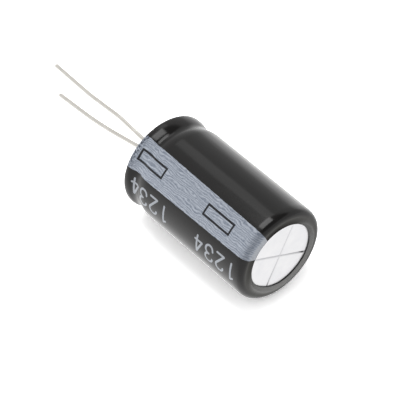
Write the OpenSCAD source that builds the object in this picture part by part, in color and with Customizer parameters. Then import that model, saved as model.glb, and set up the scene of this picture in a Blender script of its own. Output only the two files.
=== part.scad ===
// Radial electrolytic capacitor in the standard size of 18 x 30 mm, with a lead pitch of 7.5 mm.
// The board plane is z = 0 with both leads below it. +Z runs along the can to its scored
// end, and +X points from the positive lead to the negative lead and the printed stripe.

/* [Can] */
// Outside diameter of the bare can
can_d = 18; // [16:0.5:22]
// Height of the bare can over the curled rim and the scored end
can_h = 30.5; // [25:0.1:50]
// Thickness of the drawn side wall
wall_t = 0.35; // [0.25:0.05:0.5]
// Thickness of the scored end
end_t = 0.5; // [0.4:0.05:0.8]
// Outside radius of the corner round the scored end
end_r = 1.15; // [0.8:0.05:1.8]
// Outside radius of the rim curled over the seal
curl_r = 0.85; // [0.7:0.05:0.9]
// Width of the rim curled over the seal
rim_w = 2.5; // [2.3:0.1:3]

/* [Bead rolled into the can] */
// Height of the bead's middle above the rim
bead_z = 2.9; // [2.9:0.1:3.4]
// Depth of the bead
bead_depth = 0.6; // [0.3:0.05:0.6]
// Radius of the hollow of the bead
bead_r = 2.2; // [1.4:0.1:2.3]
// Radius of the shoulder between the hollow and the rim
rim_shoulder_r = 1.4; // [1:0.1:1.5]
// Radius of the shoulder between the hollow and the wall
wall_shoulder_r = 6; // [1.5:0.5:7]

/* [Score lines] */
// Distance from each end of a score line to the sleeve
score_margin = 0.1; // [0:0.1:3]
// Width of a score line at the surface
score_w = 0.4; // [0.2:0.02:0.5]
// Depth of a score line
score_depth = 0.2; // [0.1:0.02:0.3]
// Turn of the crossed lines about the can, in degrees
score_turn = 19; // [0:1:90]

/* [Sleeve] */
// Thickness of the shrunk sleeve
sleeve_t = 0.15; // [0.1:0.01:0.25]
// Thickness that the fold over the scored end gathers to
vent_fold_t = 0.2; // [0.15:0.05:0.4]
// Reach of the sleeve's fold over the scored end
vent_fold_w = 2.6; // [2:0.1:3.5]
// Reach of the sleeve's fold over the rim
rim_fold_w = 2.2; // [1.5:0.1:2.3]

/* [Print] */
// Thickness of the printed ink
ink_t = 0.04; // [0.02:0.01:0.08]
// Width of the stripe at the rim
stripe_rim_w = 6.3; // [4:0.1:8]
// Width of the stripe at the scored end
stripe_vent_w = 5.3; // [3:0.1:8]
// Length of each minus mark
minus_l = 6.7; // [4:0.1:8]
// Width of each minus mark
minus_w = 2.3; // [1:0.1:3]
// Width of a minus mark's outline
outline_w = 0.38; // [0.1:0.02:0.4]
// Height of the lower minus mark above the board plane
minus_z = 1.7; // [1:0.05:3]
// Height of the lower row of digits above the board plane
digit_z = 2; // [1:0.05:2]
// Distance from the lower marks to the upper ones
row_pitch = 17.25; // [14:0.25:18]
// Distance from one digit to the next
digit_pitch = 2.7; // [2.4:0.1:3]
// Height of a digit
digit_h = 3.8; // [3:0.1:5]
// Width of a digit
digit_w = 2.1; // [1.6:0.1:2.3]
// Width of a digit's stroke
stroke_w = 0.4; // [0.2:0.02:0.6]
// Place of the digits round the can, in degrees from the stripe
digit_turn = 41; // [35:1:60]

/* [Seal] */
// Height of the rubber seal
seal_h = 5; // [4.6:0.1:7]
// Clearance round a lead in its hole
hole_clearance = 0.1; // [0.05:0.05:0.3]
// Thickness of rubber between the face and a tab's boss
face_web = 1.1; // [0.8:0.1:1.6]

/* [Leads and tabs] */
// Distance between the two leads
lead_pitch = 7.5; // [7.5:0.5:8.5]
// Diameter of a lead
lead_d = 0.8; // [0.6:0.1:1]
// Length of the positive lead below the board plane, measured along the wire
positive_lead_l = 34; // [26:0.2:45]
// Length of the negative lead below the board plane, measured along the wire
negative_lead_l = 23.8; // [19:0.2:40]
// Diameter of a tab's round boss
boss_d = 2.2; // [1.6:0.1:2.6]
// Width of a tab's flat blade
blade_w = 3; // [2.4:0.1:3.6]
// Thickness of a tab's flat blade
blade_t = 0.3; // [0.2:0.05:0.5]

/* [Winding] */
// Clearance between the winding and the can's wall
winding_clearance = 0.55; // [0.3:0.05:0.8]
// Room for the tabs between the seal and the winding
tab_room = 2.1; // [1.8:0.1:3]
// Winding left above the end of each blade
blade_margin = 4.5; // [2:0.5:8]
// Diameter of the hole that the mandrel leaves
mandrel_d = 3; // [2:0.1:3.6]
// Thickness of the closing tape
tape_t = 0.08; // [0.05:0.01:0.12]
// Width of the closing tape
tape_w = 12; // [6:0.5:14]
// How far the closing tape reaches round the winding, in degrees
tape_turn = 330; // [180:5:350]

/* [Hidden] */
$fn = 96;

can_r = can_d / 2;
rim_z = sleeve_t;
top_z = rim_z + can_h;
seal_z = rim_z + wall_t;
seal_top = seal_z + seal_h;
weld_z = seal_z + face_web;

// The winding's edge meets the rounded corner inside the can, a little below the end
winding_r = can_r - wall_t - winding_clearance;
room_r = end_r - wall_t;
corner_reach = max(0, winding_r - (can_r - end_r));
winding_top = top_z - end_t - room_r + sqrt(max(0, room_r ^ 2 - corner_reach ^ 2));
winding_z = seal_top + tab_room;
blade_top = winding_top - blade_margin;

// Height of the boss above the seal, and of the stretch where it flattens into the blade
boss_proud = 0.6;
flatten_h = 1.1;
blade_z = seal_top + boss_proud + flatten_h;

// Reach of a cutting solid past what it cuts
over = 1;
reach = 2 * can_h;

// The hollow's centre lies outside the wall, and each shoulder's centre inside it, where the
// shoulder's arc and the hollow's meet without a corner
hollow_x = can_r + bead_r - bead_depth;
bead_mid = rim_z + bead_z;
rim_shoulder = [can_r - rim_shoulder_r, bead_mid - shoulder_away(rim_shoulder_r)];
wall_shoulder = [can_r - wall_shoulder_r, bead_mid + shoulder_away(wall_shoulder_r)];
// How far the hollow's circle reaches into its shoulders, so that they cross
crossing = 0.002;

// A digit's strokes run on centre lines from 0 to digit_top, round bowls of radius bowl_r
digit_count = 4;
digit_top = digit_h - stroke_w;
bowl_r = (digit_w - stroke_w) / 2;
slant_a = 40;

// Half of the stripe's angle at mid-height, and how far each edge leans over
stripe_half_a = asin((stripe_rim_w + stripe_vent_w) / 4 / can_r);
stripe_lean = atan((stripe_rim_w - stripe_vent_w) / 2 / can_h);

// A lead is a chain of bends, each a [straight length, turn in degrees, radius of the turn],
// and its last straight stretch takes what is left of its length
positive_bends = [[0.4, 2.4, 3], [7.9, -5.4, 3], [6.5, 5.4, 3], [8, -3.4, 8]];
negative_bends = [[0.4, 8.5, 3], [7.3, -6, 90]];

// How far along the can a shoulder's centre is from the hollow's
function shoulder_away(radius) =
    sqrt((bead_r + radius) ^ 2 - (hollow_x - can_r + radius) ^ 2);

// Cross-section of the bead's cut, in a body grown by grow
module bead_section(grow) {
    middle = [hollow_x, bead_mid];
    outer_x = hollow_x + bead_r;
    difference() {
        polygon([rim_shoulder, middle, wall_shoulder, [outer_x, wall_shoulder.y],
                 [outer_x, rim_shoulder.y]]);
        translate(rim_shoulder) circle(r = rim_shoulder_r + grow);
        translate(wall_shoulder) circle(r = wall_shoulder_r + grow);
    }
    translate(middle) circle(r = bead_r - grow + crossing);
}

// Half cross-section of the can's outside grown by grow, with its end at end_z
module body_section(grow, end_z) {
    low_r = curl_r + grow;
    high_r = end_r + grow;
    low_z = rim_z - grow;
    difference() {
        union() {
            translate([0, low_z + low_r]) square([can_r + grow, end_z - low_z - low_r - high_r]);
            translate([0, low_z]) square([can_r + grow - low_r, low_r]);
            translate([0, end_z - high_r]) square([can_r + grow - high_r, high_r]);
            translate([can_r + grow - low_r, low_z + low_r]) circle(r = low_r);
            translate([can_r + grow - high_r, end_z - high_r]) circle(r = high_r);
        }
        bead_section(grow);
    }
}

module body_solid(grow, end_z) {
    rotate_extrude() body_section(grow, end_z);
}

// The sleeve before its openings are cut, less a depth of ink
module sleeve_solid(depth) {
    body_solid(sleeve_t - depth, top_z + vent_fold_t - depth);
}

// The room inside the can
module can_room() {
    rotate_extrude() body_section(-wall_t, top_z - end_t);
}

// The sleeve's two openings
module fold_openings() {
    translate([0, 0, -over]) cylinder(h = can_r, r = can_r - rim_fold_w);
    translate([0, 0, top_z - over]) cylinder(h = can_r, r = can_r - vent_fold_w);
}

// Everything outside the bottom of the ink
module ink_depth() {
    difference() {
        translate([0, 0, -can_r]) cylinder(h = reach, r = can_d);
        sleeve_solid(ink_t);
    }
}

// One side of the stripe's wedge: the space on the far side of a leaning plane
module stripe_side(side) {
    mirror([0, side, 0])
        translate([0, 0, top_z / 2])
            rotate([0, 0, -stripe_half_a])
                rotate([stripe_lean, 0, 0])
                    translate([0, 0, -reach / 2]) cube([reach, reach, reach]);
}

module stripe_wedge() {
    intersection() {
        stripe_side(0);
        stripe_side(1);
    }
}

// Flat drawing of a mark, laid on the can at an angle: x runs up the can, y round it
module on_can(turn) {
    rotate([0, 0, turn])
        rotate([90, 0, 90])
            rotate([0, 0, 90])
                linear_extrude(height = can_d) children();
}

module minus_shapes() {
    for (row = [0, 1])
        translate([minus_z + row * row_pitch, -minus_w / 2])
            difference() {
                square([minus_l, minus_w]);
                translate([outline_w, outline_w])
                    square([minus_l - 2 * outline_w, minus_w - 2 * outline_w]);
            }
}

// A straight stroke with round ends, which reach a hair past its edges so that they cross
module stroke(from, to) {
    run = to - from;
    translate(from)
        rotate(atan2(run.y, run.x))
            translate([0, -stroke_w / 2]) square([norm(run), stroke_w]);
    for (end = [from, to]) translate(end) circle(d = stroke_w + 2 * crossing);
}

// A round bowl of a digit: its centre line has radius bowl_r
module bowl(centre) {
    translate(centre)
        difference() {
            circle(r = bowl_r + stroke_w / 2);
            circle(r = bowl_r - stroke_w / 2);
        }
}

module digit_one() {
    stroke([bowl_r, 0], [bowl_r, digit_top]);
    stroke([bowl_r, digit_top], [bowl_r / 3, digit_top - bowl_r / 2]);
}

// The bowl runs over the top and turns into the slanted stroke at its lower right
module digit_two() {
    centre = [bowl_r, digit_top - bowl_r];
    turn_off = centre + bowl_r * [cos(slant_a), -sin(slant_a)];
    difference() {
        bowl(centre);
        polygon([centre, turn_off + [reach, -reach * tan(slant_a)], [0, -reach],
                 [-reach, centre.y]]);
    }
    stroke(turn_off, [0, 0]);
    stroke([0, 0], [2 * bowl_r, 0]);
}

module digit_three() {
    lower = [bowl_r, bowl_r];
    upper = [bowl_r, digit_top - bowl_r];
    difference() {
        union() {
            bowl(lower);
            bowl(upper);
        }
        translate([-stroke_w, lower.y]) square([bowl_r + stroke_w, upper.y - lower.y]);
    }
}

module digit_four() {
    foot = [1.5 * bowl_r, 0];
    bar_y = digit_top / 4;
    stroke(foot, [foot.x, digit_top]);
    stroke([foot.x, digit_top], [0, bar_y]);
    stroke([0, bar_y], [2 * bowl_r, bar_y]);
}

module digit(value) {
    if (value == 1) digit_one();
    if (value == 2) digit_two();
    if (value == 3) digit_three();
    if (value == 4) digit_four();
}

// Digits read down the can, with their feet towards the stripe
module digit_shapes() {
    for (row = [0, 1], value = [1 : digit_count])
        translate([digit_z + row * row_pitch + (digit_count - value) * digit_pitch
                   + digit_w - stroke_w / 2, digit_top / 2])
            rotate([0, 0, 180]) digit(value);
}

module sleeve() {
    color([0.16, 0.155, 0.15])
        difference() {
            sleeve_solid(0);
            body_solid(0, top_z);
            fold_openings();
            intersection() {
                ink_depth();
                union() {
                    stripe_wedge();
                    on_can(digit_turn) digit_shapes();
                }
            }
        }
}

module polarity_stripe() {
    color([0.68, 0.74, 0.82])
        difference() {
            intersection() {
                sleeve_solid(0);
                ink_depth();
                stripe_wedge();
            }
            fold_openings();
            on_can(0) minus_shapes();
        }
}

module minus_marks() {
    color([0.2, 0.21, 0.24])
        intersection() {
            sleeve_solid(0);
            ink_depth();
            on_can(0) minus_shapes();
        }
}

module digit_marks() {
    color([0.7, 0.7, 0.7])
        intersection() {
            sleeve_solid(0);
            ink_depth();
            on_can(digit_turn) digit_shapes();
        }
}

// A straight V cut across the scored end
module score_line(turn) {
    slope = score_w / 2 / score_depth;
    mouth = score_w / 2 + slope * over;
    half_l = can_r - vent_fold_w - score_margin;
    translate([0, 0, top_z])
        rotate([0, 0, turn])
            translate([-half_l, 0, 0])
                rotate([90, 0, 90])
                    linear_extrude(height = 2 * half_l)
                        polygon([[-mouth, over], [0, -score_depth], [mouth, over]]);
}

module can() {
    color([0.87, 0.87, 0.88])
        difference() {
            body_solid(0, top_z);
            can_room();
            translate([0, 0, -over]) cylinder(h = 2 * over, r = can_r - rim_w);
            for (turn = [score_turn, score_turn + 90]) score_line(turn);
        }
}

module lead_places() {
    for (side = [-1, 1]) translate([side * lead_pitch / 2, 0, 0]) children();
}

module seal() {
    color([0.13, 0.13, 0.13])
        difference() {
            intersection() {
                can_room();
                cylinder(h = seal_top, d = can_d);
            }
            lead_places() {
                cylinder(h = weld_z + over, d = lead_d + 2 * hole_clearance);
                translate([0, 0, weld_z]) cylinder(h = seal_h, d = boss_d);
            }
        }
}

module winding() {
    color([0.82, 0.8, 0.74])
        difference() {
            translate([0, 0, winding_z]) cylinder(h = winding_top - winding_z, r = winding_r);
            cylinder(h = reach, d = mandrel_d);
            lead_places() blade(seal_top);
        }
}

module closing_tape() {
    color([0.85, 0.72, 0.3])
        translate([0, 0, (winding_z + winding_top - tape_w) / 2])
            rotate_extrude(angle = tape_turn)
                translate([winding_r, 0]) square([tape_t, tape_w]);
}

module blade(from_z) {
    translate([-blade_t / 2, -blade_w / 2, from_z]) cube([blade_t, blade_w, blade_top - from_z]);
}

// The stretch where the round boss is pressed flat: wide one way, thin the other
module flattened_neck() {
    base = seal_top + boss_proud;
    intersection() {
        rotate([90, 0, 0])
            translate([0, 0, -blade_w])
                linear_extrude(height = 2 * blade_w)
                    polygon([[-boss_d / 2, base], [boss_d / 2, base],
                             [blade_t / 2, blade_z], [-blade_t / 2, blade_z]]);
        rotate([90, 0, 90])
            translate([0, 0, -blade_w])
                linear_extrude(height = 2 * blade_w)
                    polygon([[-boss_d / 2, base], [boss_d / 2, base],
                             [blade_w / 2, blade_z], [-blade_w / 2, blade_z]]);
    }
}

module tab() {
    color([0.8, 0.8, 0.8]) {
        translate([0, 0, weld_z]) cylinder(h = seal_top + boss_proud - weld_z, d = boss_d);
        flattened_neck();
        blade(blade_z);
    }
}

module positive_tab() {
    translate([-lead_pitch / 2, 0, 0]) tab();
}

module negative_tab() {
    translate([lead_pitch / 2, 0, 0]) tab();
}

// An arc of wire from heading -Z, turned towards +Y, with what follows placed at its end
module bend(turn, radius) {
    side = turn < 0 ? -1 : 1;
    mirror([0, turn < 0 ? 1 : 0, 0])
        translate([0, radius, 0])
            rotate([0, 90, 0])
                rotate([0, 0, -90])
                    rotate_extrude(angle = abs(turn)) translate([radius, 0]) circle(d = lead_d);
    translate([0, side * radius * (1 - cos(turn)), -radius * sin(abs(turn))])
        rotate([turn, 0, 0]) children();
}

module wire(bends, length_left, index = 0) {
    if (index < len(bends)) {
        straight = bends[index][0];
        turn = bends[index][1];
        radius = bends[index][2];
        arc = radius * abs(turn) * PI / 180;
        translate([0, 0, -straight]) {
            cylinder(h = straight, d = lead_d);
            bend(turn, radius) wire(bends, length_left - straight - arc, index + 1);
        }
    } else {
        translate([0, 0, -length_left]) cylinder(h = length_left, d = lead_d);
    }
}

module lead(bends, length) {
    color([0.78, 0.77, 0.74]) {
        cylinder(h = weld_z, d = lead_d);
        wire(bends, length);
    }
}

module positive_lead() {
    translate([-lead_pitch / 2, 0, 0]) lead(positive_bends, positive_lead_l);
}

module negative_lead() {
    translate([lead_pitch / 2, 0, 0]) lead(negative_bends, negative_lead_l);
}

sleeve();
polarity_stripe();
minus_marks();
digit_marks();
can();
seal();
winding();
closing_tape();
positive_tab();
negative_tab();
positive_lead();
negative_lead();
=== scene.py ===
import bmesh
import bpy
import numpy as np
from mathutils import Matrix, Vector


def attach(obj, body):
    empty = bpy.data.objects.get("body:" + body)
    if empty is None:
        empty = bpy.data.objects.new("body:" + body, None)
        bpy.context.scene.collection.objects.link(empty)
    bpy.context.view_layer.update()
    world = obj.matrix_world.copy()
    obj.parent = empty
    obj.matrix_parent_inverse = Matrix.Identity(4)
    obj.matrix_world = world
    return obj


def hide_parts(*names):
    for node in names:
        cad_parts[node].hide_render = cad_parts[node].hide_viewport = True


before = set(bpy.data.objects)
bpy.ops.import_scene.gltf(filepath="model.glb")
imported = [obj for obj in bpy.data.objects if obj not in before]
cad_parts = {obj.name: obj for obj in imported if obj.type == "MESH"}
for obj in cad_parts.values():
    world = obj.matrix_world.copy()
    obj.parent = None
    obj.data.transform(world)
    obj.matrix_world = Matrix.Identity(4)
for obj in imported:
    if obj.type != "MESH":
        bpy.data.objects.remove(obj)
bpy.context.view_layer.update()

# Leads. Two copper-clad steel wires, tin plated and drawn bright, each welded to the boss of its
# tab inside the seal. The long one is positive. Both were bent a little to one side in handling.
wire_r = 0.4
lead_pitch = 7.5
weld_z = 1.6
long_lead = ([(0.4, 2.4, 3), (7.9, -5.4, 3), (6.5, 5.4, 3), (8, -3.4, 8)], 34.0)
short_lead = ([(0.4, 8.5, 3), (7.3, -6, 90)], 23.8)


def linear(code):
    """Linear RGBA of an sRGB hex colour: c / 12.92 when dark, else ((c + 0.055) / 1.055) ^ 2.4."""
    c = np.array([int(code[i:i + 2], 16) for i in (1, 3, 5)]) / 255
    return (*np.where(c <= 0.04045, c / 12.92, ((c + 0.055) / 1.055) ** 2.4).tolist(), 1.0)


def add(tree, kind, settings=(), links=()):
    """A shader node, with its properties and input values set and its inputs linked."""
    made = tree.nodes.new("ShaderNode" + kind)
    for name, value in dict(settings).items():
        if isinstance(name, str) and hasattr(made, name):
            setattr(made, name, value)
        else:
            made.inputs[name].default_value = value
    for name, source in dict(links).items():
        tree.links.new(source, made.inputs[name])
    return made


def finish(name, settings):
    """A new material: its node tree and its surface shader, with constant values on its sockets."""
    material = bpy.data.materials.new(name)
    material.use_nodes = True
    shader = material.node_tree.nodes["Principled BSDF"]
    for socket, value in settings.items():
        shader.inputs[socket].default_value = value
    return material, material.node_tree, shader


def skin(name, grid, material, round_rows=False, round_columns=True, first=None, last=None):
    """Mesh of a grid of points in mm, one quad to each cell. A grid may close on itself along its
    rows or columns, and a first or last point closes the open end beside it with triangles. The
    front of a cell is where the step to the next column crossed with the next row points."""
    rows, columns = grid.shape[:2]
    index = np.arange(rows * columns).reshape(rows, columns)
    if round_columns:
        index = np.hstack([index, index[:, :1]])
    if round_rows:
        index = np.vstack([index, index[:1]])
    cells = np.stack([index[:-1, :-1], index[:-1, 1:], index[1:, 1:], index[1:, :-1]], -1)
    faces = cells.reshape(-1, 4).tolist()
    points = grid.reshape(-1, 3)
    for pole, ring, side in ((first, index[0], 1), (last, index[-1], -1)):
        if pole is not None:
            tip = np.full(len(ring) - 1, len(points))
            points = np.vstack([points, pole])
            faces += np.stack([tip, ring[1:], ring[:-1]][::side], -1).tolist()
    mesh = bpy.data.meshes.new(name)
    mesh.from_pydata((points / 1000).tolist(), [], faces)
    mesh.shade_smooth()
    mesh.materials.append(material)
    piece = bpy.data.objects.new(name, mesh)
    bpy.context.scene.collection.objects.link(piece)
    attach(piece, "root")
    return piece


def wire(bends, length, step=0.1):
    """Centre line of a lead: its heading is constant along straights and grows evenly round bends,
    and the points are the running sum of short steps along the heading. Returns distance along,
    heading, and the points' y and z."""
    along, heading = [-weld_z, 0.0], [0.0, 0.0]
    for straight, turn, radius in bends:
        along += [along[-1] + straight, along[-1] + straight + radius * abs(np.radians(turn))]
        heading += [heading[-1], heading[-1] + np.radians(turn)]
    s = np.append(np.arange(-weld_z, length, step), length)
    middle = np.interp((s[1:] + s[:-1]) / 2, along, heading)
    y = np.concatenate([[0], np.cumsum(np.sin(middle) * np.diff(s))])
    z = weld_z - np.concatenate([[0], np.cumsum(np.cos(middle) * np.diff(s))])
    return s, np.interp(s, along, heading), y, z


# Bright tin plate, drawn through a die: a soft, warm, mirror-like grey with faint lines along the
# wire, and a little oxide that dulls it unevenly.
tin, tree, shader = finish("tin_plated_wire", {"Metallic": 1.0})
place = add(tree, "Attribute", {"attribute_name": "along_wire"}).outputs["Vector"]
drawn = add(tree, "Mapping", {"Scale": (9, 9, 0.35)}, {"Vector": place})
lines = add(tree, "TexNoise", {"Scale": 1.0, "Detail": 3.0}, {"Vector": drawn.outputs[0]})
clouds = add(tree, "TexNoise", {"Scale": 0.8, "Detail": 3.0}, {"Vector": place})
tone = add(tree, "Mix", {"data_type": "RGBA", 6: linear("#d2cfc8"), 7: linear("#eeebe5")},
           {0: clouds.outputs[0]})
tree.links.new(tone.outputs[2], shader.inputs["Base Color"])
dull = add(tree, "MapRange", {"To Min": 0.2, "To Max": 0.38}, {"Value": lines.outputs[0]})
tree.links.new(dull.outputs[0], shader.inputs["Roughness"])
scratch = add(tree, "Bump", {"Strength": 0.35, "Distance": 0.00002}, {"Height": lines.outputs[0]})
tree.links.new(scratch.outputs[0], shader.inputs["Normal"])

for name, node, side, (bends, length) in (("long_lead_wire", "positive_lead", -1, long_lead),
                                          ("short_lead_wire", "negative_lead", 1, short_lead)):
    s, heading, y, z = wire(bends, length)
    turn = np.linspace(2 * np.pi, 0, 32, endpoint=False)
    # The cutter leaves the tip a little pinched, so the last 0.06 mm draws in
    r = wire_r * np.sqrt(1 - 0.45 * np.clip((s - length + 0.06) / 0.06, 0, 1) ** 2)
    across = r[:, None] * np.cos(turn)
    up = r[:, None] * np.sin(turn)
    grid = np.stack([side * lead_pitch / 2 + across,
                     y[:, None] + up * np.cos(heading)[:, None],
                     z[:, None] + up * np.sin(heading)[:, None]], -1)
    ends = [[side * lead_pitch / 2, y[i], z[i]] for i in (0, -1)]
    piece = skin(name, grid, tin, first=ends[0], last=ends[1])
    local = np.stack([across, up, np.broadcast_to(s[:, None], up.shape)], -1).reshape(-1, 3)
    local = np.vstack([local, [0, 0, -weld_z], [0, 0, length]])
    along_wire = piece.data.attributes.new("along_wire", "FLOAT_VECTOR", "POINT")
    along_wire.data.foreach_set("vector", local.ravel())
    piece.data.set_sharp_from_angle(angle=0.9)
    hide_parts(node)

# Tabs. Aluminium rod, pressed flat above its round boss into a blade that is stitched to the foil.
# The boss plugs the seal's hole, and the winding holds the blade between its turns.
pressed, tree, shader = finish("pressed_aluminium", {"Metallic": 1.0})
place = add(tree, "TexCoord").outputs["Object"]
press = add(tree, "Mapping", {"Scale": (2500, 2500, 250)}, {"Vector": place})
marks = add(tree, "TexNoise", {"Scale": 1.0, "Detail": 4.0}, {"Vector": press.outputs[0]})
tone = add(tree, "Mix", {"data_type": "RGBA", 6: linear("#b9babc"), 7: linear("#e2e2e4")},
           {0: marks.outputs[0]})
tree.links.new(tone.outputs[2], shader.inputs["Base Color"])
dull = add(tree, "MapRange", {"To Min": 0.3, "To Max": 0.55}, {"Value": marks.outputs[0]})
tree.links.new(dull.outputs[0], shader.inputs["Roughness"])
dents = add(tree, "Bump", {"Strength": 0.4, "Distance": 0.00003}, {"Height": marks.outputs[0]})
tree.links.new(dents.outputs[0], shader.inputs["Normal"])
for node in ("positive_tab", "negative_tab"):
    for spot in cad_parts[node].material_slots:
        spot.material = pressed

# Winding. Two aluminium foils and the paper between them, soaked in electrolyte and rolled tight.
# Its flat ends show the edges of the turns as fine rings, and its side the plain outer paper.
turn_pitch = 0.28
paper, tree, shader = finish("soaked_paper_and_foil", {"Roughness": 0.6, "Specular IOR Level": 0.4})
place = add(tree, "TexCoord").outputs["Object"]
# Real turns are 0.28 mm apart; wobble shifts them by up to half a turn
wobble = add(tree, "TexNoise", {"Scale": 160.0, "Detail": 2.0}, {"Vector": place})
flat = add(tree, "VectorMath", {"operation": "MULTIPLY", 1: (1, 1, 0)}, {0: place})
out = add(tree, "VectorMath", {"operation": "LENGTH"}, {0: flat.outputs[0]})
phase = add(tree, "Math", {"operation": "MULTIPLY", 1: 2 * np.pi * 1000 / turn_pitch},
            {0: out.outputs["Value"]})
shift = add(tree, "Math", {"operation": "MULTIPLY_ADD", 1: 6.0},
            {0: wobble.outputs[0], 2: phase.outputs[0]})
wave = add(tree, "Math", {"operation": "SINE"}, {0: shift.outputs[0]})
edge = add(tree, "MapRange", {"From Min": -0.2, "From Max": 0.9}, {"Value": wave.outputs[0]})
tone = add(tree, "Mix", {"data_type": "RGBA", 6: linear("#d9cfb8"), 7: linear("#8f8b82")},
           {0: edge.outputs[0]})
tree.links.new(tone.outputs[2], shader.inputs["Base Color"])
ridges = add(tree, "Bump", {"Strength": 0.5, "Distance": 0.00005}, {"Height": wave.outputs[0]})
tree.links.new(ridges.outputs[0], shader.inputs["Normal"])
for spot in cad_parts["winding"].material_slots:
    spot.material = paper

# Closing tape. A strip of amber polyester film, stuck round the roll so that it doesn't spring
# open.
film, tree, shader = finish("amber_polyester_film", {"Coat Weight": 0.5, "Coat Roughness": 0.1})
place = add(tree, "TexCoord").outputs["Object"]
trapped = add(tree, "TexNoise", {"Scale": 600.0, "Detail": 3.0}, {"Vector": place})
tone = add(tree, "Mix", {"data_type": "RGBA", 6: linear("#c08a2c"), 7: linear("#dcae55")},
           {0: trapped.outputs[0]})
tree.links.new(tone.outputs[2], shader.inputs["Base Color"])
dull = add(tree, "MapRange", {"To Min": 0.15, "To Max": 0.35}, {"Value": trapped.outputs[0]})
tree.links.new(dull.outputs[0], shader.inputs["Roughness"])
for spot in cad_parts["closing_tape"].material_slots:
    spot.material = film

# Seal. Black rubber, moulded with a hole for each lead and squeezed tight by the can's bead and
# curled rim, which leaves its face dull and slightly grainy.
rubber, tree, shader = finish("moulded_black_rubber", {"Specular IOR Level": 0.35})
place = add(tree, "TexCoord").outputs["Object"]
grain = add(tree, "TexNoise", {"Scale": 4000.0, "Detail": 3.0}, {"Vector": place})
bloom = add(tree, "TexNoise", {"Scale": 350.0, "Detail": 2.0}, {"Vector": place})
tone = add(tree, "Mix", {"data_type": "RGBA", 6: linear("#1b1b1c"), 7: linear("#39383a")},
           {0: bloom.outputs[0]})
tree.links.new(tone.outputs[2], shader.inputs["Base Color"])
dull = add(tree, "MapRange", {"To Min": 0.5, "To Max": 0.75}, {"Value": grain.outputs[0]})
tree.links.new(dull.outputs[0], shader.inputs["Roughness"])
pits = add(tree, "Bump", {"Strength": 0.5, "Distance": 0.00003}, {"Height": grain.outputs[0]})
tree.links.new(pits.outputs[0], shader.inputs["Normal"])
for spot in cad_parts["seal"].material_slots:
    spot.material = rubber

# Can. Aluminium, deep drawn in one piece. A bead is rolled into its wall, its rim is curled over
# the seal, and two crossed lines are scored in its end so that it tears open under pressure.
can_r, top_z, wall_t, room_top, can_fit = 9.0, 30.65, 0.35, 30.15, 0.008
seat_z, curl_r, end_r, disc_r = 0.15, 0.85, 1.15, 7.85
cut_lip_at, cut_lip_r = (6.67, 0.329), 0.171
bead = {"z": 3.05, "depth": 0.6, "r": 2.2, "rim_shoulder_r": 1.4, "wall_shoulder_r": 6.0}
score_w, score_depth, score_l, score_turn = 0.4, 0.2, 6.3, 19


def arc(centre, radius, start, end, steps):
    """Points (r, z) on a circle: its centre plus radius times the cosine and sine of angles."""
    a = np.radians(np.linspace(start, end, steps))
    return np.column_stack([centre[0] + radius * np.cos(a), centre[1] + radius * np.sin(a)])


def shoulder(bead, radius):
    """Where a shoulder of a bead meets its hollow. Their centres lie the sum of their radii apart,
    so the height between them is the third side of a right triangle. Returns it and its angle."""
    out = bead["r"] - bead["depth"] + radius
    away = np.sqrt((bead["r"] + radius) ** 2 - out ** 2)
    return away, np.degrees(np.arctan2(away, out))


def body_line(grow, end_z, fine=1.0, bead=bead):
    """Profile (r, z) of the can's outside grown by grow, from its flat rim up to its flat end: a
    corner, a shoulder, the bead's hollow, a shoulder, the wall and the upper corner. Each arc's
    radius grows or shrinks with grow, and its centre stays, but the upper one follows end_z."""
    rim_r, wall_r = bead["rim_shoulder_r"], bead["wall_shoulder_r"]
    (rim_away, rim_swing), (wall_away, wall_swing) = shoulder(bead, rim_r), shoulder(bead, wall_r)
    corner_r = end_r + grow
    wall_z = np.linspace(bead["z"] + wall_away, end_z - corner_r, int(60 * fine))[1:-1]
    return np.vstack([
        arc((can_r - curl_r, seat_z + curl_r), curl_r + grow, 270, 360, int(14 * fine)),
        arc((can_r - rim_r, bead["z"] - rim_away), rim_r + grow, 0, rim_swing, int(14 * fine)),
        arc((can_r + bead["r"] - bead["depth"], bead["z"]), bead["r"] - grow, 180 + rim_swing,
            180 - wall_swing, int(28 * fine))[1:-1],
        arc((can_r - wall_r, bead["z"] + wall_away), wall_r + grow, -wall_swing, 0,
            int(20 * fine)),
        np.column_stack([np.full(len(wall_z), can_r + grow), wall_z]),
        arc((disc_r, end_z - corner_r), corner_r, 0, 90, int(20 * fine)),
    ])


def turn_round(line, azimuth):
    """Grid of a profile (r, z) turned about Z: a row to each point, a column to each azimuth."""
    r, z = line[:, :1], line[:, 1:]
    return np.stack([r * np.cos(azimuth), r * np.sin(azimuth), z + 0 * azimuth], -1)


def weld(name, parts):
    """One piece of several: their meshes together, with points that meet made one."""
    whole = bmesh.new()
    for part in parts:
        whole.from_mesh(part.data)
    bmesh.ops.remove_doubles(whole, verts=whole.verts, dist=2e-7)
    whole.to_mesh(parts[0].data)
    whole.free()
    for part in parts[1:]:
        bpy.data.objects.remove(part)
    parts[0].name = parts[0].data.name = name
    return parts[0]


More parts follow.
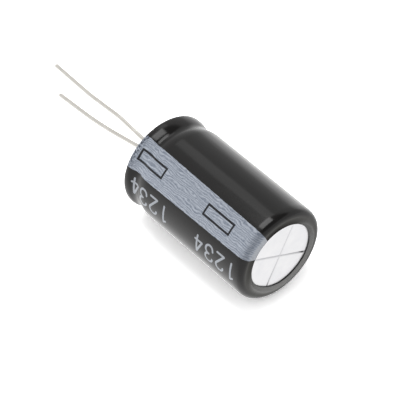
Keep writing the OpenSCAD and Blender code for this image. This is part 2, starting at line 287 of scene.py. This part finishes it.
# Satin aluminium off the press: a pale, slightly mottled grey with a soft sheen. The rolling of
# the sheet leaves faint straight lines across its end.
satin, tree, shader = finish("drawn_satin_aluminium", {"Metallic": 1.0})
place = add(tree, "TexCoord").outputs["Object"]
rolled = add(tree, "Mapping", {"Rotation": (0, 0, 0.6), "Scale": (260, 3200, 1200)},
             {"Vector": place})
sheet = add(tree, "TexNoise", {"Scale": 1.0, "Detail": 4.0}, {"Vector": rolled.outputs[0]})
mottle = add(tree, "TexNoise", {"Scale": 420.0, "Detail": 4.0, "Roughness": 0.6},
             {"Vector": place})
tone = add(tree, "Mix", {"data_type": "RGBA", 6: linear("#e6e6e9"), 7: linear("#fbfafa")},
           {0: mottle.outputs[0]})
scored = add(tree, "Attribute", {"attribute_name": "scored"}).outputs["Fac"]
cut = add(tree, "Mix", {"data_type": "RGBA", 7: linear("#e4e4e6")},
          {0: scored, 6: tone.outputs[2]})
# Painted shade: a near-black mix in the far ends of the scored lines, next to the sleeve's fold
groove_end_shade = add(tree, "Attribute", {"attribute_name": "groove_end_shade"}).outputs["Fac"]
body = add(tree, "Mix", {"data_type": "RGBA", 7: linear("#171717")},
           {0: groove_end_shade, 6: cut.outputs[2]})
tree.links.new(body.outputs[2], shader.inputs["Base Color"])
dull = add(tree, "MapRange", {"To Min": 0.32, "To Max": 0.5}, {"Value": mottle.outputs[0]})
tree.links.new(dull.outputs[0], shader.inputs["Roughness"])
both = add(tree, "Math", {"operation": "MULTIPLY_ADD", 1: 0.6},
           {0: sheet.outputs[0], 2: mottle.outputs[0]})
dents = add(tree, "Bump", {"Strength": 0.25, "Distance": 0.00003}, {"Height": both.outputs[0]})
tree.links.new(dents.outputs[0], shader.inputs["Normal"])

# The end is a square grid drawn round: x = s sqrt(1 - t^2 / 2), y = t sqrt(1 - s^2 / 2). Its lines
# crowd near s = 0 and t = 0, where the grooves run, and each groove's depth comes from its V.
half_row = np.concatenate([np.linspace(0, 0.032, 13), np.linspace(0.032, 0.12, 9)[1:],
                           np.linspace(0.12, 1, 26)[1:]])
spaced = np.concatenate([-half_row[:0:-1], half_row])
s, t = np.meshgrid(spaced, spaced, indexing="ij")
x, y = disc_r * s * np.sqrt(1 - t ** 2 / 2), disc_r * t * np.sqrt(1 - s ** 2 / 2)
run_out = 0.35


def groove(off, along):
    """Depth of a V groove with a rounded lip: full depth less its slope times the distance off its
    line, fading to nothing over the run-out at its end."""
    v = score_depth * (1 - np.abs(off) / (score_w / 2))
    v = score_depth * np.log1p(np.exp(v / score_depth * 5)) / 5
    return v * np.clip((score_l - np.abs(along)) / run_out, 0, 1)


# Pressing the lines in draws the sheet down a little beside them, but not under the sleeve
inside = np.clip((6.2 - np.hypot(x, y)) / 1.6, 0, 1)
sag = 0.05 * np.exp(-np.minimum(np.abs(x), np.abs(y)) / 0.8)
cut = np.maximum(groove(y, x), groove(x, y))
depth = cut + sag * inside
turned = np.radians(score_turn)
flat_z = top_z - can_fit
end_face = np.stack([x * np.cos(turned) - y * np.sin(turned),
                     x * np.sin(turned) + y * np.cos(turned), flat_z - depth], -1)

# The wall is the can's profile turned about Z: from the middle of the room down its inside, out
# over the rim's cut lip, and up the outside to the edge of the end face, whose columns it shares.
edge = np.concatenate([end_face[:, 0], end_face[-1, 1:], end_face[-2::-1, -1],
                       end_face[0, -2:0:-1]])
azimuth = np.arctan2(edge[:, 1], edge[:, 0])
wall_line = np.vstack([body_line(-wall_t, room_top, 0.5)[::-1],
                       arc(cut_lip_at, cut_lip_r, 90, 270, 9),
                       body_line(-can_fit, flat_z, 0.7)])
end = skin("can_end", end_face.transpose(1, 0, 2), satin, round_columns=False)
# The lines' bottoms are duller, and painted shade darkens the two ends that lie furthest from the
# stripe, next to the sleeve's fold: thick at the very end, and thin for some way along
groove_shade = (np.exp(-((x + score_l) / 0.7) ** 2) + 0.12 * np.exp(-((x + score_l) / 3.5) ** 2)
         + 0.4 * np.exp(-((y - score_l) / 0.6) ** 2) + 0.16 * np.exp(-((y - score_l) / 4.5) ** 2))
for name, mask in (("scored", np.clip(cut / score_depth * 1.6, 0, 1)),
                   ("groove_end_shade", np.clip(groove_shade * cut / score_depth * 2.5, 0, 1))):
    held = end.data.attributes.new(name, "FLOAT", "POINT")
    held.data.foreach_set("value", mask.T.ravel())
piece = weld("can_shell", [
    end, skin("can_wall", turn_round(wall_line, azimuth), satin, first=[0, 0, room_top])])
piece.data.set_sharp_from_angle(angle=0.7)
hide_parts("can")

# Sleeve. A dark glossy PVC tube, printed flat, slipped over the can and shrunk on with heat, which
# folds it over the rim and the scored end. It was made flat, so two faint creases run along it.
# Its outside leaves the wall in a slack arc below the scored end and goes on in a tight one.
film_t, sleeve_top, rim_hole_r, end_hole_r = 0.15, 30.85, 6.875, 6.5
slack_r, tight_r, slack_turn = 4.5, 1.2, 12
wall = body_line(film_t, sleeve_top, 1.3)
aside, upward = np.cos(np.radians(slack_turn)), np.sin(np.radians(slack_turn))
slack_at = (can_r + film_t - slack_r, sleeve_top - slack_r * upward - tight_r * (1 - upward))
tight_at = (slack_at[0] + (slack_r - tight_r) * aside, slack_at[1] + (slack_r - tight_r) * upward)
outer = np.vstack([[rim_hole_r, 0], wall[wall[:, 1] < slack_at[1] - 0.1],
                   arc(slack_at, slack_r, 0, slack_turn, 10),
                   arc(tight_at, tight_r, slack_turn, 90, 26), [end_hole_r, sleeve_top]])
outer = outer[np.concatenate([[True], np.hypot(*np.diff(outer, axis=0).T) > 1e-6])]
span = np.concatenate([[0], np.cumsum(np.hypot(*np.diff(outer, axis=0).T))])
slope = np.gradient(outer, span, axis=0)
slope /= np.hypot(slope[:, 0], slope[:, 1])[:, None]
crease_at = np.radians(-38)
# On the crease's side the film didn't shrink right into the bead, but spans it with a flatter dip
dip = {"z": 3.55, "depth": 0.5, "r": 2.0, "rim_shoulder_r": 4.6, "wall_shoulder_r": 5.0}
dip_middle, dip_half, dip_fade = -75, 1.1, 0.4
spanned = body_line(film_t, sleeve_top, 1.3, dip)
spanned = spanned[(spanned[:, 1] > 1) & (spanned[:, 1] < 8)]
lift = np.where((outer[:, 1] > 1) & (outer[:, 1] < 8),
                np.interp(outer[:, 1], spanned[:, 1], spanned[:, 0]) - outer[:, 0], 0)


def turn_from(azimuth, centre):
    """How far an azimuth has turned from a centre in degrees, the shorter way round, in radians."""
    return (azimuth - np.radians(centre) + np.pi) % (2 * np.pi) - np.pi


def bell(azimuth, centre, wide):
    """A bell in azimuth: e to the power of minus the square of the turn from its centre over its
    width. Both are in degrees."""
    return np.exp(-(turn_from(azimuth, centre) / np.radians(wide)) ** 2)


def hem(azimuth):
    """How far the fold's cut edge lies outside its mean radius. The film shrank unevenly, so the
    hole is a bell wider on the stripe's side and a bell narrower below the digits."""
    return 0.2 * bell(azimuth, -20, 50) - 0.33 * bell(azimuth, 98, 30)


def on_sleeve(s, azimuth, under):
    """Points under the sleeve's outside, at a distance s along its profile and at an azimuth. The
    depth is laid off along the profile's normal. To it come shallow waves that the heat leaves,
    sines of both directions, and the two creases are bells that stand out of it. The film's lift
    over the bead is full on the crease's side, and goes over to none by a smooth step. The hem
    moves the fold's flat, in full at its cut edge and not at all at its corner."""
    off = np.abs((azimuth - crease_at + np.pi / 2) % np.pi - np.pi / 2)
    waves = 2 + np.sin(7 * azimuth + 0.25 * s) + np.sin(4 * azimuth - 0.55 * s + 1)
    depth = under + 0.003 * waves + 0.008 * (1 - np.exp(-(off / 0.06) ** 2))
    fade = np.clip((np.abs(turn_from(azimuth, dip_middle)) - dip_half) / dip_fade, 0, 1)
    r = np.interp(s, span, outer[:, 0]) - np.interp(s, span, slope[:, 1]) * depth
    r = r + np.interp(s, span, lift) * (1 - fade * fade * (3 - 2 * fade))
    r = r + hem(azimuth) * np.clip((s - span[-2]) / (span[-1] - span[-2]), 0, 1)
    z = np.interp(s, span, outer[:, 1]) + np.interp(s, span, slope[:, 0]) * depth
    return np.stack([r * np.cos(azimuth), r * np.sin(azimuth), z], -1)


# PVC is a hard, glossy plastic: a near-black body with a clear, slightly wavy shine. The heat
# leaves long shallow waves along the can and a very fine orange peel.
pvc, tree, shader = finish("shrunk_black_pvc", {"IOR": 1.45})
place = add(tree, "TexCoord").outputs["Object"]
long = add(tree, "Mapping", {"Scale": (520, 520, 70)}, {"Vector": place})
drawn = add(tree, "TexNoise", {"Scale": 1.0, "Detail": 2.0}, {"Vector": long.outputs[0]})
peel = add(tree, "TexNoise", {"Scale": 1500.0, "Detail": 2.0}, {"Vector": place})
smear = add(tree, "TexNoise", {"Scale": 230.0, "Detail": 3.0}, {"Vector": place})
tone = add(tree, "Mix", {"data_type": "RGBA", 6: linear("#0b0a0a"), 7: linear("#141211")},
           {0: drawn.outputs[0]})
# Where it folds over the scored end the film has gathered, and is a little paler
gathered = add(tree, "Attribute", {"attribute_name": "gathered"}).outputs["Fac"]
body = add(tree, "Mix", {"data_type": "RGBA", 7: linear("#302e29")},
           {0: gathered, 6: tone.outputs[2]})
tree.links.new(body.outputs[2], shader.inputs["Base Color"])
dull = add(tree, "MapRange", {"To Min": 0.11, "To Max": 0.19}, {"Value": smear.outputs[0]})
tree.links.new(dull.outputs[0], shader.inputs["Roughness"])
fine = add(tree, "Bump", {"Strength": 0.15, "Distance": 0.00001}, {"Height": peel.outputs[0]})
waved = add(tree, "Bump", {"Strength": 0.5, "Distance": 0.00006},
            {"Height": drawn.outputs[0], "Normal": fine.outputs[0]})
tree.links.new(waved.outputs[0], shader.inputs["Normal"])

azimuth = np.linspace(0, 2 * np.pi, 240, endpoint=False)
outside = on_sleeve(span[:, None], azimuth, 0.010)
# The inside lies on the can, but for a hair, and both cut edges are rounded
film_gap = 0.002
lip = arc((end_hole_r, 30.748), 0.096, 84, 270, 9)
within = np.vstack([lip, body_line(film_gap, top_z + film_gap, 0.5)[::-1],
                    arc((6.87, 0.08), 0.07, 90, 256, 7)])
inside = turn_round(within, azimuth)
inside[:len(lip), :, 0] += hem(azimuth) * np.cos(azimuth)
inside[:len(lip), :, 1] += hem(azimuth) * np.sin(azimuth)
piece = skin("sleeve_film", np.vstack([outside, inside]), pvc, round_rows=True)
mask = np.concatenate([np.clip((span - span[-1] + 1.9) / 0.6, 0, 1), np.zeros(len(within))])
held = piece.data.attributes.new("gathered", "FLOAT", "POINT")
held.data.foreach_set("value", np.repeat(mask, len(azimuth)))
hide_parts("sleeve")

# Polarity stripe. Pale ink printed on the tube before it was shrunk, so that it runs over both
# folds. The shrinking wrinkled it into fine dark grain along the can, and crumpled it at corners.
stripe_half = np.radians(18.8)
stripe_lean = 0.5 / 30.5
middle_z = 15.325
wrinkle_pitch = 0.4

ink, tree, shader = finish("crazed_pale_ink", {"IOR": 1.47, "Roughness": 0.28})
place = add(tree, "UVMap", {"uv_map": "print_mm"}).outputs[0]
crumple = add(tree, "Attribute", {"attribute_name": "crumple"}).outputs["Fac"]
folded = add(tree, "Attribute", {"attribute_name": "folded"}).outputs["Fac"]
# The wrinkles are lines about 0.4 mm apart: the sine of the distance round the can,
# whose phase a slow noise shifts by some turns, so that they wander, join and end.
slow = add(tree, "Mapping", {"Scale": (0.9, 0.34, 1)}, {"Vector": place})
wander = add(tree, "TexNoise", {"noise_dimensions": "2D", "Scale": 1.0, "Detail": 2.0},
             {"Vector": slow.outputs[0]})
round_can = add(tree, "SeparateXYZ", links={0: place}).outputs["X"]
even = add(tree, "Math", {"operation": "MULTIPLY", 1: 2 * np.pi / wrinkle_pitch}, {0: round_can})
phase = add(tree, "Math", {"operation": "MULTIPLY_ADD", 1: 18.0},
            {0: wander.outputs[0], 2: even.outputs[0]})
wave = add(tree, "Math", {"operation": "SINE"}, {0: phase.outputs[0]})
patchy = add(tree, "TexNoise", {"noise_dimensions": "2D", "Scale": 0.9, "Detail": 2.0},
             {"Vector": place})
strong = add(tree, "MapRange", {"From Min": 0.35, "From Max": 0.6, "To Min": 0.2, "To Max": 0.45},
             {"Value": patchy.outputs[0]})
thin = add(tree, "Mapping", {"Scale": (8.0, 3.4, 1)}, {"Vector": place})
crackle = add(tree, "TexNoise", {"noise_dimensions": "2D", "Scale": 1.0, "Detail": 3.0},
              {"Vector": thin.outputs[0]})
lines = add(tree, "Math", {"operation": "MULTIPLY_ADD"},
            {0: wave.outputs[0], 1: strong.outputs[0], 2: crackle.outputs[0]})
tone = add(tree, "Mix", {"data_type": "RGBA", 6: linear("#7e8797"), 7: linear("#c3cad5")},
           {0: lines.outputs[0]})
# The rim's corner is crumpled into dark specks, the scored end's corner has a band of painted
# shade, and the stretched ink of its fold is paler and greyer
cloud = add(tree, "TexNoise", {"noise_dimensions": "2D", "Scale": 2.8, "Detail": 4.0},
            {"Vector": place})
blot = add(tree, "MapRange", {"From Min": 0.4, "From Max": 0.6}, {"Value": cloud.outputs[0]})
# Painted shade: a darker band at the scored end's corner
shaded = add(tree, "Attribute", {"attribute_name": "shaded"}).outputs["Fac"]
share = add(tree, "Math", {"operation": "MULTIPLY_ADD", "use_clamp": True},
            {0: crumple, 1: blot.outputs[0], 2: shaded})
dim = add(tree, "Mix", {"data_type": "RGBA", 7: linear("#3c4452")},
          {0: share.outputs[0], 6: tone.outputs[2]})
body = add(tree, "Mix", {"data_type": "RGBA", 7: linear("#b3b7bd")},
           {0: folded, 6: dim.outputs[2]})
tree.links.new(body.outputs[2], shader.inputs["Base Color"])
relief = add(tree, "Bump", {"Strength": 0.3, "Distance": 0.00002},
             {"Height": lines.outputs[0]})
tree.links.new(relief.outputs[0], shader.inputs["Normal"])


def lay(name, s, azimuth, under, material):
    """A print's patch on the sleeve, from grids of distance along its profile and of azimuth."""
    return skin(name, on_sleeve(s, azimuth, under), material, round_columns=False)


s = np.linspace(0.02, span[-1] - 0.02, 420)[:, None]
u = np.linspace(-1, 1, 41)
r, z = np.interp(s, span, outer[:, 0]), np.interp(s, span, outer[:, 1])
half = stripe_half - np.arcsin((z - middle_z) * stripe_lean / r)
ragged = 1 + 0.006 * np.sin(2.1 * s) + 0.004 * np.sin(5.3 * s + 1)
azimuth = u * half * ragged
piece = lay("stripe_print", s, azimuth, 0.004, ink)
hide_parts("polarity_stripe")
uv = piece.data.uv_layers.new(name="print_mm")
corners = np.empty(len(piece.data.loops), dtype=np.int32)
piece.data.loops.foreach_get("vertex_index", corners)
flat = np.stack([azimuth * r, s + 0 * azimuth], -1).reshape(-1, 2)
uv.data.foreach_set("uv", flat[corners].ravel())
# shaded is painted shade: a darker band 2.5 mm before the profile's end, at the scored end's corner
for name, mask in (("crumple", 1.3 * np.exp(-((s - 2.5) / 0.8) ** 2)),
                   ("shaded", 0.4 * np.exp(-((s - span[-1] + 2.5) / 0.75) ** 2)),
                   ("folded", 0.75 * np.clip((s - span[-1] + 1.6) / 0.4, 0, 1))):
    held = piece.data.attributes.new(name, "FLOAT", "POINT")
    held.data.foreach_set("value", (mask + 0 * azimuth).ravel())

# Minus marks. The thin dark outlines of two minus signs, printed over the stripe.
mark_half, mark_line = (3.35, 1.15), 0.38
dark, tree, shader = finish("dark_line_ink", {"IOR": 1.47})
place = add(tree, "TexCoord").outputs["Object"]
speck = add(tree, "TexNoise", {"Scale": 2500.0, "Detail": 2.0}, {"Vector": place})
tone = add(tree, "Mix", {"data_type": "RGBA", 6: linear("#0b0d12"), 7: linear("#191c23")},
           {0: speck.outputs[0]})
tree.links.new(tone.outputs[2], shader.inputs["Base Color"])
dull = add(tree, "MapRange", {"To Min": 0.2, "To Max": 0.4}, {"Value": speck.outputs[0]})
tree.links.new(dull.outputs[0], shader.inputs["Roughness"])

# Distance along the profile at a height on the wall, where heights only rise
rise = np.maximum.accumulate(outer[:, 1]) + np.arange(len(outer)) * 1e-9
side = np.linspace(-1, 1, 70)[:-1]
square = np.concatenate([np.stack([side, 0 * side - 1], 1), np.stack([0 * side + 1, side], 1),
                         np.stack([-side, 0 * side + 1], 1), np.stack([0 * side - 1, -side], 1)])
reach = np.array(mark_half) - np.linspace(0, mark_line, 3)[:, None]
parts = []
for low in (1.7, 18.95):
    # Columns step in from the outline's outer edge, and rows go round it
    up = low + mark_half[0] + square[:, None, 0] * reach[:, 0]
    across = square[:, None, 1] * reach[:, 1]
    s = np.interp(up, rise, span)
    azimuth = np.arcsin(across / np.interp(s, span, outer[:, 0]))
    parts.append(skin("outline", on_sleeve(s, azimuth, 0.0), dark, True, False))
piece = weld("minus_print", parts)
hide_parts("minus_marks")

# Digits. Plain numbers from 1 to 4 in thin grey strokes, printed twice beside the stripe. They
# read down the can, with their feet towards the stripe.
digit_turn = np.radians(41)
tall, bowl, stroke = 3.4, 0.85, 0.4
first_foot, row_pitch, digit_pitch = 3.9, 17.25, 2.7
chalk, tree, shader = finish("pale_line_ink", {"IOR": 1.47})
place = add(tree, "TexCoord").outputs["Object"]
speck = add(tree, "TexNoise", {"Scale": 2500.0, "Detail": 2.0}, {"Vector": place})
tone = add(tree, "Mix", {"data_type": "RGBA", 6: linear("#999ea6"), 7: linear("#bdc2c9")},
           {0: speck.outputs[0]})
tree.links.new(tone.outputs[2], shader.inputs["Base Color"])
dull = add(tree, "MapRange", {"To Min": 0.2, "To Max": 0.4}, {"Value": speck.outputs[0]})
tree.links.new(dull.outputs[0], shader.inputs["Roughness"])


def straight(start, end):
    """A stroke's centre line from one point to another, in equal steps."""
    return np.linspace(start, end, 24)


def curved(centre_y, start, end):
    """A bowl's centre line: part of a circle about a point on the digit's middle."""
    a = np.radians(np.linspace(start, end, 64))
    return np.stack([bowl + bowl * np.cos(a), centre_y + bowl * np.sin(a)], 1)


def ribbon(line):
    """A stroke round its centre line: each row runs across it, and its half width is constant but
    falls off as a circle over the rounded ends, which reach past the line by half the stroke."""
    ahead = (stroke / 2) * np.sin(np.linspace(0, np.pi / 2, 9))[1:, None]
    first, last = line[0] - line[1], line[-1] - line[-2]
    line = np.vstack([line[0] + ahead[::-1] * first / np.hypot(*first), line,
                      line[-1] + ahead * last / np.hypot(*last)])
    past = np.concatenate([ahead[::-1, 0], np.zeros(len(line) - 2 * len(ahead)), ahead[:, 0]])
    half = np.sqrt(np.maximum((stroke / 2) ** 2 - past ** 2, 1e-8))
    run = np.gradient(line, axis=0)
    normal = np.stack([-run[:, 1], run[:, 0]], 1) / np.hypot(run[:, 0], run[:, 1])[:, None]
    return line[:, None] + normal[:, None] * (half[:, None] * np.linspace(-1, 1, 5))[..., None]


low_bowl, high_bowl = bowl, tall - bowl
glyphs = {
    1: [straight((bowl, 0), (bowl, tall)), straight((bowl, tall), (bowl / 3, tall - bowl / 2))],
    2: [np.vstack([curved(high_bowl, 180, -40), straight((1.48, 1.98), (0, 0))[1:]]),
        straight((0, 0), (2 * bowl, 0))],
    3: [curved(high_bowl, 180, -90), curved(low_bowl, 90, -180)],
    4: [straight((1.5 * bowl, 0), (1.5 * bowl, tall)), straight((1.5 * bowl, tall), (0, tall / 4)),
        straight((0, tall / 4), (2 * bowl, tall / 4))],
}
parts = []
for row in (0, 1):
    for value, strokes in glyphs.items():
        foot = first_foot + row * row_pitch + (len(glyphs) - value) * digit_pitch
        for layer, line in enumerate(strokes):
            shape = ribbon(line)
            s = np.interp(foot - shape[..., 0], rise, span)
            off = shape[..., 1] - tall / 2
            azimuth = digit_turn + np.arcsin(off / np.interp(s, span, outer[:, 0]))
            parts.append(skin("stroke", on_sleeve(s, azimuth, 0.001 + 0.0015 * layer), chalk,
                              round_columns=False))
piece = weld("digit_print", parts)
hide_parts("digit_marks")

# Stage. The capacitor lies on a white sheet, so the sheet is a plane along the can's side, tilted
# in the part's own frame. Its colour is brighter than white, as in a photograph exposed for dark
# things, so that only the deep shadow beside the can shows. It is seen from its front only.
up = np.array([0.7133, -0.7009, 0.0])
sheet_side = np.array([0.7009, 0.7133, 0.0])
sheet_half = 400
spread = sheet_half * np.array([[-1, -1], [1, -1], [1, 1], [-1, 1]])
white, tree, shader = finish("white_sheet", {"Roughness": 0.9, "Specular IOR Level": 0.1})
shader.inputs["Base Color"].default_value = (2.7, 2.7, 2.7, 1)
back = add(tree, "NewGeometry")
clear = add(tree, "BsdfTransparent")
seen = add(tree, "MixShader", links={0: back.outputs["Backfacing"], 1: shader.outputs[0],
                                     2: clear.outputs[0]})
tree.links.new(seen.outputs[0], tree.nodes["Material Output"].inputs["Surface"])
corners = -(can_r + film_t) * up + spread[:, :1] * sheet_side + spread[:, 1:] * [0, 0, 1]
mesh = bpy.data.meshes.new("white_sheet")
mesh.from_pydata((corners / 1000).tolist(), [], [(0, 1, 2, 3)])
mesh.materials.append(white)
sheet = bpy.data.objects.new("white_sheet", mesh)
bpy.context.scene.collection.objects.link(sheet)
sheet.visible_diffuse = sheet.visible_glossy = sheet.visible_transmission = False
sheet.visible_shadow = False

# Light. A white room, a soft box above the can, and a weaker one on the leads' side, whose faint
# reflection runs along the sleeve.
overhead = 0.75
world = bpy.data.worlds.new("white_room")
bpy.context.scene.world = world
world.use_nodes = True
tree = world.node_tree
ray = add(tree, "LightPath")
room = tree.nodes["Background"]
room.inputs["Color"].default_value = (1, 1, 1, 1)
ways = add(tree, "TexCoord").outputs["Generated"]


def glow(way, start, end, gain):
    """Light that grows as the cosine between a ray and a way goes from start to end."""
    lean = add(tree, "VectorMath", {"operation": "DOT_PRODUCT", 1: way}, {0: ways})
    return add(tree, "MapRange", {"interpolation_type": "SMOOTHSTEP", "From Min": start,
                                  "From Max": end, "To Max": gain},
               {"Value": lean.outputs["Value"]}).outputs[0]


# The room is dimmest overhead. The sheet beside the can and the wall behind it are brighter.
beside = add(tree, "Math", {"operation": "ADD", 1: overhead},
             {0: glow((-0.5, 0.72, -0.48), 0.1, 0.8, 0.52)})
lit = add(tree, "Math", {"operation": "ADD"},
          {0: beside.outputs[0], 1: glow((-0.8, -0.52, -0.3), 0.84, 0.97, 0.7)})
# A dim gap beyond the soft box draws a thin dark line along the scored end's corner
dimmed = add(tree, "Math", {"operation": "SUBTRACT"},
             {0: lit.outputs[0], 1: glow((0.537, -0.795, 0.28), 0.7, 0.86, 0.5)})
below = add(tree, "Math", {"operation": "MULTIPLY"},
            {0: ray.outputs["Is Glossy Ray"], 1: glow((-0.7133, 0.7009, 0), -0.3, 0.1, 1)})
# Behind everything the room is plain white, and so is the sheet in a mirror
seen = add(tree, "Math", {"operation": "MAXIMUM"},
           {0: ray.outputs["Is Camera Ray"], 1: ray.outputs["Is Transmission Ray"]})
plain = add(tree, "Math", {"operation": "MAXIMUM"}, {0: seen.outputs[0], 1: below.outputs[0]})
level = add(tree, "Math", {"operation": "MAXIMUM"}, {0: plain.outputs[0], 1: dimmed.outputs[0]})
tree.links.new(level.outputs[0], room.inputs["Strength"])


def soft_box(name, place, towards, width, height, radiance):
    """A rectangular lamp in mm. Its power is its radiance times pi times its area."""
    lamp = bpy.data.lights.new(name, "AREA")
    lamp.shape = "RECTANGLE"
    lamp.size, lamp.size_y = width / 1000, height / 1000
    lamp.energy = radiance * np.pi * width * height / 1e6
    box = bpy.data.objects.new(name, lamp)
    box.location = Vector(place) / 1000
    box.rotation_mode = "QUATERNION"
    box.rotation_quaternion = (Vector(towards) - Vector(place)).to_track_quat("-Z", "Y")
    box.visible_camera = False
    bpy.context.scene.collection.objects.link(box)
    return box


soft_box("top_box", (209, -202, -46), (0, 0, 15), 138, 138, 3.4)
soft_box("strip_box", (118, -234, -140), (7, -5, 20), 100, 100, 0.6)

# Camera. It looks at the scored end from above and beside it, as the photograph does.
lens = bpy.data.cameras.new("camera")
lens.lens, lens.sensor_width = 180, 36
lens.clip_start, lens.clip_end = 0.01, 10
camera = bpy.data.objects.new("camera", lens)
turned = Matrix(((-0.5333, 0.1757, 0.8275), (-0.5430, -0.8212, -0.1755),
                 (0.6487, -0.5429, 0.5333)))
camera.rotation_mode = "QUATERNION"
camera.rotation_quaternion = turned.to_quaternion()
camera.location = (0.2844, -0.0589, 0.1946)
bpy.context.scene.collection.objects.link(camera)
bpy.context.scene.camera = camera
bpy.context.scene.view_settings.view_transform = "Standard"
